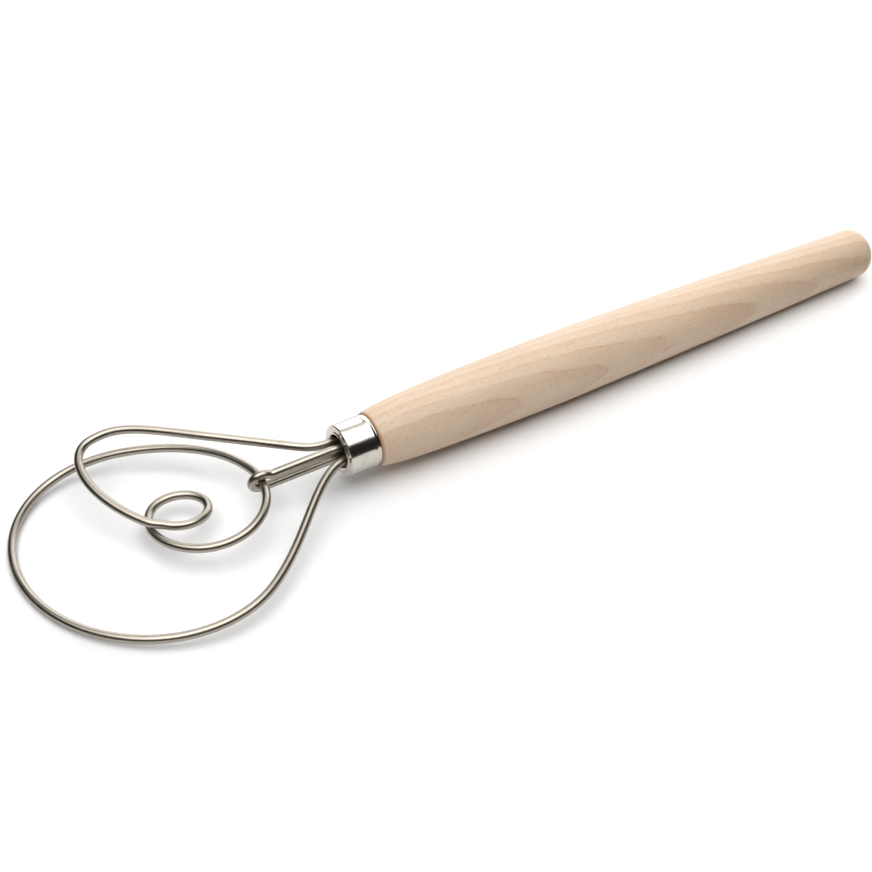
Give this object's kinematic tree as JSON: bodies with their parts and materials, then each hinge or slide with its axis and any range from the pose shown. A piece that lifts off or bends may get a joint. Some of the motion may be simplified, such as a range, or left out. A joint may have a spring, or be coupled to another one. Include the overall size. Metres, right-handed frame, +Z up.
{
  "type": "dough whisk",
  "caption": "Dough whisk: a flat looped stainless wire head held by a metal ferrule on a turned wooden handle, for stirring stiff dough and batter by hand.",
  "frame": {"origin": "centre of the small flat on the butt end of the wooden handle", "axes": "X along the handle axis, +X out of the butt and the looped head toward -X; Z is up as the whisk lies on a table with the rings of the head flat; Y completes a right-handed set and points across the head, toward the side the raised third loop leans to"},
  "size_m": [0.3443, 0.0942, 0.0286],
  "materials": {
    "beech": "satin, light oil",
    "polished_steel": "polished",
    "stainless_wire": "drawn wire, semi-bright",
    "resin": "matt potting resin"
  },
  "bodies": {
    "root": {"handle": "beech", "ferrule": "polished_steel", "whisk_wire": "stainless_wire", "stay_wire": "stainless_wire", "bonding_plug": "resin"}
  },
  "joints": []
}
